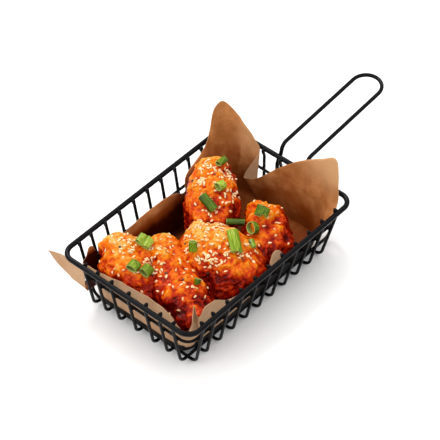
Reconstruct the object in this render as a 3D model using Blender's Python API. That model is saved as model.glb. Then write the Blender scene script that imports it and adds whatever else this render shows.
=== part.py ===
"""A wire serving basket lined with kraft paper and filled with sauced chicken tenders.

Metres, +Z up. The origin is on the table under the middle of the basket's base, +X is across the
basket and +Y runs along it towards the handle. Places inside the basket are given from the middle
of the rim, through from_rim().
"""

import math

import bmesh
import bpy
from mathutils import Vector, noise

MM = 0.001
GAP = 0.3 * MM  # clearance between pieces that touch in the real basket

# Basket: rim and wires
RIM_WIDTH = 148.0 * MM  # across, between wire centre lines
RIM_LENGTH = 215.0 * MM
RIM_CORNER = 12.0 * MM
RIM_HEIGHT = 59.8 * MM  # wire centre above the table
RIM_SHIFT = 3.6 * MM  # the rim's middle lies this far behind the base's middle
RIM_WIRE = 2.45 * MM  # wire radii, to the corners of the faceted section
FINE_WIRE = 1.5 * MM
RING_WIRE = 1.4 * MM
HANDLE_WIRE = 1.95 * MM
FINE_FLAT = FINE_WIRE * math.cos(math.pi / 6)  # centre of a fine wire to its flat side

# How far the walls come in for each unit of depth below the rim
SIDE_SLOPE = 0.199
FRONT_SLOPE = 0.178
BACK_SLOPE = 0.0

UPRIGHT_INSET = 1.9 * MM  # line of the uprights inside the rim's centre line
LEFT_INSET = 3.8 * MM  # the left-hand wall's uprights stand further in
UPRIGHT_TOP = 2.3 * MM  # upright ends stand this far above the rim's centre
BASE_BEND = 8.0 * MM
CROSS_PITCH = 18.0 * MM
CROSS_COUNTS = (-4.8, -4, -3, -2, -1, 0, 1, 2, 3, 4, 5)
CROSS_TOP_SHIFT = 1.2 * MM  # the uprights lean back a little from base to rim
CROSS_SPREAD = 1.05  # and fan out a little
CROSS_SHIFT = 0.35 * MM  # the middle one's centre lies this far behind the origin
LONG_PLACES = (-50.7, -35.9, -19.8, 0.0, 19.8, 35.9, 50.7)  # mm across the front
LONG_SHIFT = 1.9 * MM
LONG_DRIFT = -8.3 * MM  # the inner wires run this far askew by the back wall
RING_DEPTHS = (19.3 * MM, 23.8 * MM)  # the ring hangs lower on the right than on the left
RING_CORNER = 10.0 * MM

# Handle, a long loop welded behind the back wall
HANDLE_HALF = 14.65 * MM
HANDLE_MIDDLE = 1.75 * MM
HANDLE_RISE = math.radians(5.7)
HANDLE_STRAIGHT = 93.0 * MM
# Leg outline as (distance behind the rim line, height above the rim), mm
HANDLE_LEG = ((0.9, -21.0), (0.9, -9.5), (5.3, -1.2), (6.9, 5.1), (10.4, 9.0), (15.7, 10.0))

# Paper liner
PAPER = 0.8 * MM
PAPER_INSET = 7.4 * MM  # its middle surface inside the rim line
FLOOR = 5.8 * MM  # underside of the paper on the base wires
FOOT_ROUND = 5.0  # exponent of the rounded oblong that the paper's foot follows
SIDE_SLUMP = 2.9 * MM  # how far the foot of each wall of paper comes in from the wires
BACK_SLUMP = 6.0 * MM

# The paper's top edge, from the tall corner round by the back, right, front and left, as
# (across, along, above) in mm from the middle of the rim
TALL_CORNER = ((-70.5, 85.5, 31), (-71, 98, 38), (-61.8, 104, 30), (-43.5, 102.8, 19), (-31.6, 102.6, 7))
BACK_PLEAT = ((-29.5, 102, -2), (-35, 91, -27), (-26, 98.5, -26))
WING = ((-5, 99.8, -5), (15.6, 102.3, 14.7), (39.6, 104, 31.6), (55.6, 105, 41), (61, 103, 20))
RIGHT_WALL = ((65, 97, 0), (66.2, 84, -6), (66.2, 40, -10), (65.5, 16, 2), (66, -4, -9), (65.5, -45, -8))
NEAR_CORNER = ((64, -64, 3), (64, -77, 6), (65, -87, 3), (61, -88, 16), (66, -96, 1), (61.5, -99, -12))
FRONT_WALL = ((54, -100, -2), (45, -100, 6), (22, -100, 7), (-4, -100, 3), (-34, -100, 0), (-52, -99, -5))
LEFT_WALL = ((-60.5, -92, -9), (-61.5, -80, -9), (-61, -49, -13), (-61, 13, -13), (-59.5, 34, -22))
TALL_EDGE = ((-62.5, 39, -8), (-64.5, 57.6, 1), (-66.3, 71, 8), (-69, 79, 15))
PAPER_EDGE = (TALL_CORNER + BACK_PLEAT + WING + RIGHT_WALL + NEAR_CORNER + FRONT_WALL
              + LEFT_WALL + TALL_EDGE)

# The loose corner of the sheet, which leaves under the ring at the front left and turns up outside
# it, as rows of (left, right) ends in mm from the middle of the rim
FLAP = (
    ((-60, -82, -36), (-51, -84, -37)),
    ((-62, -96, -36.5), (-51.8, -97, -37.5)),
    ((-66, -102, -31.5), (-51.8, -102.2, -34.5)),
    ((-82, -103, -24.5), (-51.8, -103.3, -22)),
    ((-97, -103.2, -16), (-51.8, -103.4, -9)),
)
FLAP_RISE = 4.5 * MM  # its top edge stands this much above a straight line

# Chicken tenders: middle line from end to end as (across, along, above) mm from the middle of
# the rim, with the half width and half height at each of those points
TENDERS = {
    "tender_front": (((-24, -37, -26), (10, -56, -28), (42, -69, -31)), (18, 25, 23), (22, 25, 20)),
    "tender_middle": (((-4, -8, -25), (20, -8, -24), (49, -6, -31)), (27, 31, 27), (26, 27, 21)),
    "tender_left": (((-52, -64, -26), (-36, -66, -25), (-10, -76, -29)), (23, 29, 24), (25, 26, 23)),
    "tender_right": (((10, 60, -28), (27, 50, -27), (38, 30, -30)), (15, 24, 21), (20, 24, 20)),
    "tender_back": (((-6, 13, -33), (-26, 34, -20), (-44, 56, -10)), (19, 24, 20), (19, 21, 19)),
}
TENDER_RINGS = 11
TENDER_SIDES = 14
LUMP = 4.5 * MM
LUMP_SIZE = 17.0 * MM
PRESS_ROUND = (4.0, 5.5)  # exponents of the oblong that keeps them off the paper, floor and rim

# Slices of spring onion: middle as (across, along, above) mm from the middle of the rim, heading,
# pitch and roll in degrees, and half width, half height and length in mm
ONIONS = (
    ((-39.5, 62.5, 9), (92, -8, 10), (3.2, 2.6, 10.5)),
    ((-21.5, 40.5, 6.5), (85, -10, 25), (4.3, 3.6, 7.5)),
    ((-20, 22, 0), (-4, -24, 15), (4.3, 2.6, 17)),
    ((25, 42.5, 3.5), (108, 27, 0), (6.2, 4.4, 8.5)),
    ((7, 27.5, -10.5), (38, 0, 0), (3.2, 2.6, 16)),
    ((26.5, 28, -5), (75, -25, 0), (6, 5.6, 5)),
    ((30.5, -1, 3.5), (143, 22, 25), (5.8, 3, 21)),
    ((38.5, 13.5, -5.5), (147, 5, 0), (2.7, 1.9, 8.5)),
    ((7, -28.5, 2.5), (128, 60, 0), (3.6, 3.2, 9)),
    ((-32, -51.5, 3.5), (97, 12, 25), (3.6, 2.6, 9.5)),
    ((-25.5, -50, 1), (97, 12, 35), (3.8, 2.6, 10)),
    ((-15.8, -79, 2.6), (105, -8, 10), (5.2, 3, 10)),
    ((-6.5, -73, -1.5), (102, -10, 30), (5, 3.2, 9.5)),
    ((32.5, -51, -5.4), (128, 55, 0), (2.8, 2.6, 4.5)),
)
ONION_WALL = 0.9 * MM
ONION_SIDES = 10


def from_rim(x, y, z):
    """A point given in mm from the middle of the rim."""
    return Vector((x * MM, y * MM + RIM_SHIFT, z * MM + RIM_HEIGHT))


def clear_scene():
    for obj in list(bpy.data.objects):
        bpy.data.objects.remove(obj, do_unlink=True)


def make_material(name, colour, roughness, metallic=0.0):
    material = bpy.data.materials.new(name)
    material.use_nodes = True
    shader = material.node_tree.nodes["Principled BSDF"]
    shader.inputs["Base Color"].default_value = (*colour, 1.0)
    shader.inputs["Roughness"].default_value = roughness
    shader.inputs["Metallic"].default_value = metallic
    return material


def add_object(name, bm, material):
    """Turn a bmesh into a smooth-shaded object with its normals facing out."""
    bmesh.ops.recalc_face_normals(bm, faces=bm.faces)
    mesh = bpy.data.meshes.new(name)
    bm.to_mesh(mesh)
    bm.free()
    mesh.materials.append(material)
    mesh.shade_smooth()
    mesh.set_sharp_from_angle(angle=math.radians(50))
    obj = bpy.data.objects.new(name, mesh)
    bpy.context.scene.collection.objects.link(obj)
    return obj


def section_sides(tangents, first, first_at):
    """The way a bar's side faces at each point: first at point first_at, then turning as little as
    it can both ways."""
    sides = [first] * len(tangents)
    for order in (range(first_at, len(tangents)), range(first_at, -1, -1)):
        side = first
        for i in order:
            side = (side - side.dot(tangents[i]) * tangents[i]).normalized()
            sides[i] = side
    return sides


def sweep(path, radius, sides, first, first_at=0, closed=False):
    """A round bar along a path. first is the way its side faces at point first_at."""
    bm = bmesh.new()
    count = len(path)
    runs = []
    for i, point in enumerate(path):
        before = path[i - 1] if closed or i else point
        after = path[(i + 1) % count] if closed or i < count - 1 else point
        runs.append(((point - before).normalized(), (after - point).normalized()))
    tangents = [(run_in + run_out).normalized() for run_in, run_out in runs]
    sides_of = section_sides(tangents, first, first_at)
    rings = []
    for point, (run_in, run_out), tangent, side in zip(path, runs, tangents, sides_of):
        up = tangent.cross(side)
        bend = run_in - run_out
        sharp = bend.length > 1e-6 and run_in.length > 0 and run_out.length > 0
        outward = bend.normalized() if sharp else up
        mitre = 1.0 / tangent.dot(run_out) if sharp else 1.0  # keeps the thickness round a bend
        ring = []
        for k in range(sides):
            angle = (k + 0.5) * math.tau / sides
            offset = radius * (math.sin(angle) * side + math.cos(angle) * up)
            offset += (mitre - 1.0) * offset.dot(outward) * outward
            ring.append(bm.verts.new(point + offset))
        rings.append(ring)
    for i in range(count if closed else count - 1):
        join_rings(bm, rings[i], rings[(i + 1) % count])
    if not closed:
        bm.faces.new(rings[0])
        bm.faces.new(rings[-1])
    return bm


def join_rings(bm, ring, other):
    """Close the band between two rings of vertices."""
    for k in range(len(ring)):
        n = (k + 1) % len(ring)
        bm.faces.new((ring[k], ring[n], other[n], other[k]))


def fillet(before, corner, after, radius, steps):
    """Points of a round bend that replaces a sharp corner."""
    one = (before - corner).normalized()
    two = (after - corner).normalized()
    half = one.angle(two) / 2
    reach = radius / math.tan(half)
    middle = corner + (one + two).normalized() * radius / math.sin(half)
    start = corner + one * reach - middle
    end = corner + two * reach - middle
    return [middle + start.slerp(end, i / steps) * radius / start.slerp(end, i / steps).length
            for i in range(steps + 1)]


def wall_loop(inset, depths, radius, steps, left_extra=0.0):
    """The loop that follows all four walls, inset from the rim line, with round corners. depths are
    how far it lies below the rim on the left and on the right."""
    ends = []
    for way, depth, extra in zip((-1, 1), depths, (left_extra, 0.0)):
        x = way * (RIM_WIDTH / 2 - inset - extra - SIDE_SLOPE * depth)
        front = RIM_SHIFT - RIM_LENGTH / 2 + inset + FRONT_SLOPE * depth
        back = RIM_SHIFT + RIM_LENGTH / 2 - inset - BACK_SLOPE * depth
        ends.append([Vector((x, y, RIM_HEIGHT - depth)) for y in (front, back)])
    (left_front, left_back), (right_front, right_back) = ends
    corners = [left_front, right_front, right_back, left_back]
    points = []
    for i, corner in enumerate(corners):
        points += fillet(corners[i - 1], corner, corners[(i + 1) % 4], radius, steps)
    return points


def upright_top(inset):
    """An upright's top as (inset from the rim line, height above the rim), from its end down. The
    end lies against the rim's inner side, and bends out under the rim where the wall is close."""
    beside = RIM_WIRE + FINE_WIRE + GAP
    top = [(beside, UPRIGHT_TOP), (beside, -0.1 * beside)]
    if inset < 0.8 * beside:
        top += [(0.78 * beside, -0.66 * beside), (inset + 0.1 * MM, -1.3 * beside)]
    return top


def bent_wire(start, end, place, first):
    """A wire bent to a U, with a flat side down along the base. start and end are (rim line, upright
    inset, slope) of the walls that it climbs, place() turns a coordinate along the wire and a height
    into a point, and first is the level direction across the wire."""
    floor = place.floor
    depth = RIM_HEIGHT - floor
    tops = []
    corners = []
    for (line, inset, slope), inward in ((start, 1), (end, -1)):
        tops.append([place(line + inward * across, RIM_HEIGHT + above)
                     for across, above in upright_top(inset)])
        corners.append(place(line + inward * (inset + slope * depth), floor))
    path = tops[0] + fillet(tops[0][-1], corners[0], corners[1], BASE_BEND, 3)
    middle = len(path)
    path.append(corners[0].lerp(corners[1], 0.5))
    path += fillet(corners[0], corners[1], tops[1][-1], BASE_BEND, 3) + tops[1][::-1]
    return sweep(path, FINE_WIRE, 6, first, middle)


class CrossPlace:
    """Puts a crosswise wire in its leaning plane. Calling it gives the point at x and z."""

    floor = FINE_FLAT

    def __init__(self, count):
        self.low = count * CROSS_PITCH / CROSS_SPREAD + CROSS_SHIFT
        self.high = count * CROSS_PITCH + CROSS_TOP_SHIFT

    def __call__(self, x, z):
        share = (z - self.floor) / (RIM_HEIGHT - self.floor)
        return Vector((x, self.low + (self.high - self.low) * share, z))


class LongPlace:
    """Puts a lengthwise wire over the crosswise ones, a little askew, at y and z."""

    floor = 3 * FINE_FLAT + GAP

    def __init__(self, x, drift):
        self.x = x
        self.drift = drift

    def __call__(self, y, z):
        share = (y - RIM_SHIFT) / RIM_LENGTH + 0.5
        return Vector((self.x + self.drift * share, y, z))


def make_basket(black):
    level = Vector((0.0, 0.0, 1.0))
    rim = wall_loop(0.0, (0.0, 0.0), RIM_CORNER, 4)
    add_object("rim", sweep(rim, RIM_WIRE, 8, level, closed=True), black)
    ring_inset = UPRIGHT_INSET + FINE_WIRE + RING_WIRE + GAP
    ring = wall_loop(ring_inset, RING_DEPTHS, RING_CORNER, 3, LEFT_INSET - UPRIGHT_INSET)
    add_object("ring", sweep(ring, RING_WIRE, 6, level, closed=True), black)

    half = RIM_WIDTH / 2
    for number, count in enumerate(CROSS_COUNTS, 1):
        left_wall = (-half, LEFT_INSET, SIDE_SLOPE)
        right_wall = (half, UPRIGHT_INSET, SIDE_SLOPE)
        wire = bent_wire(left_wall, right_wall, CrossPlace(count), Vector((0.0, 1.0, 0.0)))
        add_object(f"cross_wire_{number:02d}", wire, black)

    front = RIM_SHIFT - RIM_LENGTH / 2
    back = RIM_SHIFT + RIM_LENGTH / 2
    outer = max(LONG_PLACES)
    for number, place in enumerate(LONG_PLACES, 1):
        drift = 0.0 if abs(place) == outer else LONG_DRIFT
        put = LongPlace(place * MM + LONG_SHIFT, drift)
        front_wall = (front, UPRIGHT_INSET, FRONT_SLOPE)
        back_wall = (back, UPRIGHT_INSET, BACK_SLOPE)
        wire = bent_wire(front_wall, back_wall, put, Vector((1.0, 0.0, 0.0)))
        add_object(f"long_wire_{number}", wire, black)


def make_handle(black):
    """The legs rise behind the rim, bend back and run out to a half round end."""
    back = RIM_LENGTH / 2 / MM
    run = Vector((0.0, math.cos(HANDLE_RISE), math.sin(HANDLE_RISE)))
    middle = Vector((HANDLE_MIDDLE, 0.0, 0.0))
    reach = Vector((HANDLE_HALF, 0.0, 0.0))
    leg = [middle + from_rim(0, back + behind, above) for behind, above in HANDLE_LEG]
    hub = leg[-1] + run * HANDLE_STRAIGHT
    path = [point - reach for point in leg]
    for step in range(9):
        angle = math.pi * step / 8
        path.append(hub - math.cos(angle) * reach + math.sin(angle) * HANDLE_HALF * run)
    path += [point + reach for point in leg[::-1]]
    add_object("handle", sweep(path, HANDLE_WIRE, 8, Vector((1.0, 0.0, 0.0))), black)


def smooth_loop(points, steps):
    """A closed Catmull-Rom curve through points, with steps samples on each stretch."""
    smooth = []
    count = len(points)
    for i in range(count):
        a, b, c, d = (points[(i + k) % count] for k in (-1, 0, 1, 2))
        for step in range(steps):
            t = step / steps
            smooth.append(0.5 * (2 * b + (c - a) * t + (2 * a - 5 * b + 4 * c - d) * t * t
                                 + (3 * b - a - 3 * c + d) * t ** 3))
    return smooth


def foot_sizes():
    """Half width, front and back of the oblong that the paper's foot follows."""
    depth = RIM_HEIGHT - FLOOR
    side = RIM_WIDTH / 2 - PAPER_INSET - SIDE_SLOPE * depth - SIDE_SLUMP
    front = RIM_LENGTH / 2 - PAPER_INSET - FRONT_SLOPE * depth
    back = RIM_LENGTH / 2 - PAPER_INSET - BACK_SLUMP
    return side, front, back


def foot_point(angle, share=1.0):
    """A point of the foot loop, or of the same loop made smaller."""
    side, front, back = foot_sizes()
    c, s = math.cos(angle), math.sin(angle)
    size = share / (abs(c) ** FOOT_ROUND + abs(s) ** FOOT_ROUND) ** (1 / FOOT_ROUND)
    y = s * size * (back if s > 0 else front)
    return Vector((c * size * side, y + RIM_SHIFT, FLOOR + PAPER / 2))


def make_paper(kraft):
    edge = smooth_loop([from_rim(*point) for point in PAPER_EDGE], 2)
    side, front, back = foot_sizes()
    angles = []
    for point in edge:
        y = point.y - RIM_SHIFT
        angle = math.atan2(y / (back if y > 0 else front), point.x / side)
        if angles:
            while angle > angles[0]:
                angle -= math.tau
            angle = min(angle, angles[-1] - math.radians(0.8))
        angles.append(angle)
    bm = bmesh.new()
    rows = []
    for share in (0.5, 0.93):
        rows.append([bm.verts.new(foot_point(a, share)) for a in angles])
    for share in (0.06, 0.3, 0.54, 0.78, 1.0):
        row = []
        for top, a in zip(edge, angles):
            foot = foot_point(a)
            row.append(bm.verts.new(foot.lerp(top, share)))
        rows.append(row)
    count = len(edge)
    bm.faces.new(rows[0])
    for low, high in zip(rows, rows[1:]):
        for i in range(count):
            n = (i + 1) % count
            bm.faces.new((low[i], low[n], high[n], high[i]))
    paper = add_object("paper_liner", bm, kraft)
    thicken(paper)
    join = paper.modifiers.new("loose_corner", "BOOLEAN")
    join.operation = "UNION"
    join.solver = "EXACT"
    join.object = make_flap(kraft)


def make_flap(kraft):
    """The loose corner as its own sheet, to be joined to the liner."""
    bm = bmesh.new()
    rows = []
    columns = 4
    for number, (left, right) in enumerate(FLAP):
        left, right = from_rim(*left), from_rim(*right)
        row = []
        for i in range(columns + 1):
            point = left.lerp(right, i / columns)
            if number == len(FLAP) - 1:
                point.z += FLAP_RISE * math.sin(math.pi * i / columns)
            row.append(bm.verts.new(point))
        rows.append(row)
    for low, high in zip(rows, rows[1:]):
        for i in range(columns):
            bm.faces.new((low[i], low[i + 1], high[i + 1], high[i]))
    flap = add_object("flap_guide", bm, kraft)
    thicken(flap)
    flap.hide_render = True
    flap.display_type = "WIRE"
    return flap


def thicken(sheet):
    solid = sheet.modifiers.new("thickness", "SOLIDIFY")
    solid.thickness = PAPER
    solid.offset = 0.0


def catmull(points, t):
    """A point on an open smooth curve through points, for t from 0 to 1."""
    spans = len(points) - 1
    place = min(t * spans, spans - 1e-6)
    i = int(place)
    f = place - i
    a = points[max(i - 1, 0)]
    b = points[i]
    c = points[i + 1]
    d = points[min(i + 2, spans)]
    return 0.5 * (2 * b + (c - a) * f + (2 * a - 5 * b + 4 * c - d) * f * f
                  + (3 * b - a - 3 * c + d) * f ** 3)


def press_inside(point):
    """Keep a point of a tender off the paper's floor and walls."""
    side, front, back = foot_sizes()
    floor = FLOOR + PAPER + GAP
    z = max(point.z, floor)
    rise = (z - FLOOR) / (RIM_HEIGHT - FLOOR)
    margin = PAPER / 2 + GAP + 1.2 * MM
    top_right = RIM_WIDTH / 2 - PAPER_INSET
    top_end = RIM_LENGTH / 2 - PAPER_INSET
    x = point.x
    y = point.y - RIM_SHIFT
    top_side = top_right if x > 0 else top_right - SIDE_SLUMP
    reach_x = side * (1 - rise) + top_side * rise - margin
    reach_y = (back if y > 0 else front) * (1 - rise) + top_end * rise - margin
    low, high = PRESS_ROUND
    power = low + (high - low) * rise
    size = ((abs(x) / reach_x) ** power + (abs(y) / reach_y) ** power) ** (1 / power)
    shrink = 1.0 / size if size > 1.0 else 1.0
    return Vector((x * shrink, y * shrink + RIM_SHIFT, z))


def tender_mesh(name, swell=0.0):
    """A lumpy closed sausage along its middle line, pressed flat where it meets the paper."""
    middle, widths, heights = TENDERS[name]
    spine = [from_rim(*point) for point in middle]
    start = spine[0] - (spine[1] - spine[0]).normalized() * widths[0] * 0.8 * MM
    end = spine[-1] + (spine[-1] - spine[-2]).normalized() * widths[-1] * 0.8 * MM
    spine = [start] + spine + [end]
    wide = [widths[0]] + list(widths) + [widths[-1]]
    tall = [heights[0]] + list(heights) + [heights[-1]]
    bm = bmesh.new()
    rings = []
    ends = []
    for i in range(TENDER_RINGS + 2):
        t = i / (TENDER_RINGS + 1)
        t = 0.5 - 0.5 * math.cos(math.pi * t)
        centre = catmull(spine, t)
        ahead = (catmull(spine, min(t + 0.02, 1)) - catmull(spine, max(t - 0.02, 0))).normalized()
        side = ahead.cross(Vector((0, 0, 1))).normalized()
        up = side.cross(ahead)
        end_round = max(0.0, 1 - abs(2 * t - 1) ** 2.8) ** (1 / 2.2)
        w = catmull(wide, t) * MM * end_round
        h = catmull(tall, t) * MM * end_round
        if i in (0, TENDER_RINGS + 1):
            ends.append(bm.verts.new(press_inside(centre)))
            continue
        ring = []
        for k in range(TENDER_SIDES):
            angle = math.tau * k / TENDER_SIDES
            point = centre + side * w * math.cos(angle) + up * h * math.sin(angle)
            lump = noise.noise(point / LUMP_SIZE) + 0.5 * noise.noise(2.3 * point / LUMP_SIZE)
            point += (point - centre).normalized() * lump * LUMP * end_round
            ring.append(bm.verts.new(press_inside(point)))
        rings.append(ring)
    for ring, other in zip(rings, rings[1:]):
        for k in range(TENDER_SIDES):
            n = (k + 1) % TENDER_SIDES
            bm.faces.new((ring[k], ring[n], other[n], other[k]))
    for tip, ring in ((ends[0], rings[0]), (ends[1], rings[-1])):
        for k in range(TENDER_SIDES):
            n = (k + 1) % TENDER_SIDES
            bm.faces.new((tip, ring[k], ring[n]))
    bmesh.ops.triangulate(bm, faces=bm.faces, quad_method="FIXED")
    bmesh.ops.recalc_face_normals(bm, faces=bm.faces)
    bm.normal_update()
    for vert in bm.verts:
        vert.co += vert.normal * swell
    return bm


def make_tenders(batter):
    """Each tender is cut back where one before it in the list already lies."""
    made = []
    for name in TENDERS:
        tender = add_object(name, tender_mesh(name), batter)
        for number, other in enumerate(made):
            cutter = add_object(f"cutter_{name}_{other}", tender_mesh(other, 0.6 * MM), batter)
            cutter.hide_render = True
            cutter.display_type = "WIRE"
            cut = tender.modifiers.new(f"rests_on_{number}", "BOOLEAN")
            cut.operation = "DIFFERENCE"
            cut.solver = "EXACT"
            cut.object = cutter
        made.append(name)


def slice_axes(heading, pitch, roll):
    """The way a slice's bore runs, its wide direction and the way it faces up."""
    turn, lift, lean = (math.radians(angle) for angle in (heading, pitch, roll))
    flat = Vector((math.cos(turn), math.sin(turn), 0))
    level = Vector((math.sin(turn), -math.cos(turn), 0))
    upright = Vector((0, 0, 1))
    run = math.cos(lift) * flat + math.sin(lift) * upright
    over = math.cos(lift) * upright - math.sin(lift) * flat
    side = math.cos(lean) * level - math.sin(lean) * over
    up = math.cos(lean) * over + math.sin(lean) * level
    return run, side, up


def onion_slice(middle, angles, sizes):
    """A short piece of a flattened tube, open at both ends."""
    run, side, up = slice_axes(*angles)
    half_width, half_height, length = (size * MM for size in sizes)
    bm = bmesh.new()
    loops = []
    for wall in (0.0, ONION_WALL):
        for end in (-length / 2, length / 2):
            loop = []
            for k in range(ONION_SIDES):
                angle = math.tau * k / ONION_SIDES
                across = (half_width - wall) * math.cos(angle) * side
                above = (half_height - wall) * math.sin(angle) * up
                loop.append(bm.verts.new(from_rim(*middle) + run * end + across + above))
            loops.append(loop)
    for one, other in ((0, 1), (1, 3), (3, 2), (2, 0)):
        join_rings(bm, loops[one], loops[other])
    return bm


def make_onions(green):
    for number, (middle, angles, sizes) in enumerate(ONIONS, 1):
        add_object(f"spring_onion_{number:02d}", onion_slice(middle, angles, sizes), green)


def main():
    clear_scene()
    black = make_material("black_powder_coat", (0.02, 0.02, 0.025), 0.38)
    kraft = make_material("kraft_paper", (0.55, 0.33, 0.18), 0.8)
    batter = make_material("sauced_batter", (0.75, 0.2, 0.02), 0.3)
    green = make_material("spring_onion_green", (0.12, 0.35, 0.03), 0.4)
    make_basket(black)
    make_handle(black)
    make_paper(kraft)
    make_tenders(batter)
    make_onions(green)


main()
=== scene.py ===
"""The looks of a wire serving basket with kraft paper and sauced chicken tenders.

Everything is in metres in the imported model's frame: origin on the table under the base's middle,
+X across the basket, +Y along it towards the handle. rim_point() takes mm from the rim's middle.
"""
import math
import random

import bmesh
import bpy
import numpy as np
from mathutils import Matrix, Vector, noise
from mathutils.bvhtree import BVHTree


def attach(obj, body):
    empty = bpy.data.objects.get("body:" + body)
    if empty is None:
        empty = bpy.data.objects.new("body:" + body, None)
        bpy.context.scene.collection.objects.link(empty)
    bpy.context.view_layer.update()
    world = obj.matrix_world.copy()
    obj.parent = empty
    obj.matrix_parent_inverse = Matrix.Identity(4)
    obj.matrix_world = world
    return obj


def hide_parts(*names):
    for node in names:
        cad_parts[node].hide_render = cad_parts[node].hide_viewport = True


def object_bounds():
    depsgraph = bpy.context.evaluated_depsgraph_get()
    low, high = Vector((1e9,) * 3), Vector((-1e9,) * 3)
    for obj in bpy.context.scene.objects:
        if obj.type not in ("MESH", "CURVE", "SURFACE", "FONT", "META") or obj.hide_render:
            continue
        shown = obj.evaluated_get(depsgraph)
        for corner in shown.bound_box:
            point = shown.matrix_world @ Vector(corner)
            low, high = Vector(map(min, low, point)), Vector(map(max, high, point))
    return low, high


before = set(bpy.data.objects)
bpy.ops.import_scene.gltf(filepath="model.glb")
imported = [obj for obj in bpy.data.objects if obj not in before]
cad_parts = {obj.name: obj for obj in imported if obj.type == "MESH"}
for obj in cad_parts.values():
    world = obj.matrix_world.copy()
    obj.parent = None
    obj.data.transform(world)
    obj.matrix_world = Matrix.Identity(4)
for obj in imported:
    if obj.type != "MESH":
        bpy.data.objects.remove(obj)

CAD_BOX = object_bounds()
MM = 0.001
UP = Vector((0.0, 0.0, 1.0))

# ---------------------------------------------------------------- the basket's own dimensions
# Widths, lengths and corners are of the wires' middle lines
RIM_WIDTH = 148.0 * MM
RIM_LENGTH = 215.0 * MM
RIM_CORNER = 12.0 * MM
RIM_HEIGHT = 59.8 * MM
RIM_SHIFT = 3.6 * MM  # the rim's middle lies this far behind the base's
RING_DEPTHS = (19.3 * MM, 23.8 * MM)  # the ring hangs lower on the right than on the left
RING_CORNER = 10.0 * MM

# Radii of the wires
RIM_WIRE = 2.4 * MM
FINE_WIRE = 1.45 * MM
RING_WIRE = 1.35 * MM
HANDLE_WIRE = 1.9 * MM
FINE_FLAT = 1.3 * MM  # half height of a fine wire's solid, which is flat below
CLEAR = 0.3 * MM  # between two wires that lie against each other

# The bent wires: how the walls lean, and where the uprights stand in from the rim's line
SIDE_SLOPE = 0.199
FRONT_SLOPE = 0.178
UPRIGHT_INSET = 1.9 * MM
LEFT_INSET = 3.8 * MM
UPRIGHT_TOP = 2.3 * MM  # how far the ends stand over the rim's middle
BASE_BEND = 8.0 * MM
TOP_BEND = 2.5 * MM

# The crosswise wires, counted from the middle. Their feet stand closer together than their tops
CROSS_PITCH = 18.0 * MM
CROSS_COUNTS = (-4.8, -4, -3, -2, -1, 0, 1, 2, 3, 4, 5)
CROSS_TOP_SHIFT = 1.2 * MM
CROSS_SPREAD = 1.05
CROSS_SHIFT = 0.35 * MM

# The lengthwise wires, in mm across. All but the outer two run a little askew
LONG_PLACES = (-50.7, -35.9, -19.8, 0.0, 19.8, 35.9, 50.7)
LONG_SHIFT = 1.9 * MM
LONG_DRIFT = -8.3 * MM

# The handle. Its leg is given in mm as (behind the rim's back, above the rim)
HANDLE_HALF = 14.65 * MM
HANDLE_MIDDLE = 1.75 * MM
HANDLE_RISE = math.radians(5.7)
HANDLE_STRAIGHT = 93.0 * MM
HANDLE_LEG = ((0.9, -21.0), (0.9, -9.5), (5.3, -1.2), (6.9, 5.1), (10.4, 9.0), (15.7, 10.0))

# Weld beads in mm: (behind the rim's line if at the handle, height over the rim, half sizes)
RIM_BEADS = ((0.9, (1.7, 1.7, 1.5)), (-1.5, (1.5, 1.5, 1.7)))
RING_BEAD = (1.3, 1.3, 1.5)
CROSSING_BEAD = (1.2, 1.2, 0.9)
HANDLE_BEADS = ((0.6, -20, (1.9, 1.6, 2.2)), (2.0, -2.6, (2.0, 1.8, 1.8)))

# ---------------------------------------------------------------- the paper
PAPER = 0.35 * MM  # thickness
PAPER_INSET = 7.4 * MM
FLOOR = 6.2 * MM  # height of the tray's floor
FOOT_ROUND = 9.0  # power of the oblong that the foot follows: 2 would be an ellipse
SIDE_SLUMP = 2.9 * MM
BACK_SLUMP = 6.0 * MM

# The sheet's top edge, round the tray, as places for rim_point()
TALL_CORNER = ((-70.5, 85.5, 31), (-71, 98, 38), (-61.8, 104, 30), (-43.5, 102.8, 19), (-31.6, 102.6, 7))
BACK_PLEAT = ((-29.5, 102, -2), (-36, 90, -25), (-33, 90, -28), (-24, 95.5, -26))
WING = ((-5, 99.8, -5), (15.6, 102.3, 14.7), (39.6, 104, 31.6), (55.6, 105, 41), (61, 103, 20))
RIGHT_WALL = ((65, 97, 0), (66.2, 84, -8), (66.2, 40, -11), (65.8, 25, -9), (64.5, 18, 1), (64.2, 10, 2),
              (65.8, 4, -9), (66, -10, -11), (65.5, -45, -8))
NEAR_CORNER = ((64, -64, 3), (64, -77, 6), (65, -87, 3), (61, -88, 16), (66, -96, 1), (61.5, -99, -12))
FRONT_WALL = ((52, -100, -4), (43, -100, 3), (22, -100, 5), (-4, -100, 3), (-34, -100, -3), (-53, -99, -6))
LEFT_WALL = ((-61, -95, -12), (-62.5, -89, -10), (-63, -85, -3), (-62.8, -80, -5), (-61.5, -75, -17),
             (-61, -49, -15), (-61, 13, -13), (-59.5, 34, -22))
TALL_EDGE = ((-62.5, 39, -8), (-64.5, 57.6, 1), (-66.3, 71, 8), (-69, 79, 15))
PAPER_EDGE = (TALL_CORNER + BACK_PLEAT + WING + RIGHT_WALL + NEAR_CORNER + FRONT_WALL
              + LEFT_WALL + TALL_EDGE)
EDGE_STEPS = 9  # points on each stretch of the edge
FLOOR_ROWS = 9
WALL_ROWS = 34

# The loose flap's left and right edges, from its root to its tip
FLAP = (
    ((-60, -82, -36), (-51, -84, -37)),
    ((-62, -96, -36.5), (-51.8, -97, -37.5)),
    ((-66, -102, -31.5), (-51.8, -102.2, -34.5)),
    ((-82, -103, -24.5), (-51.8, -103.3, -22)),
    ((-97, -103.2, -16), (-51.8, -103.4, -9)),
)
FLAP_RISE = 4.5 * MM  # how far the flap's tip arches across
FLAP_SHAPE = (30, 26)  # points along and across

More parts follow.
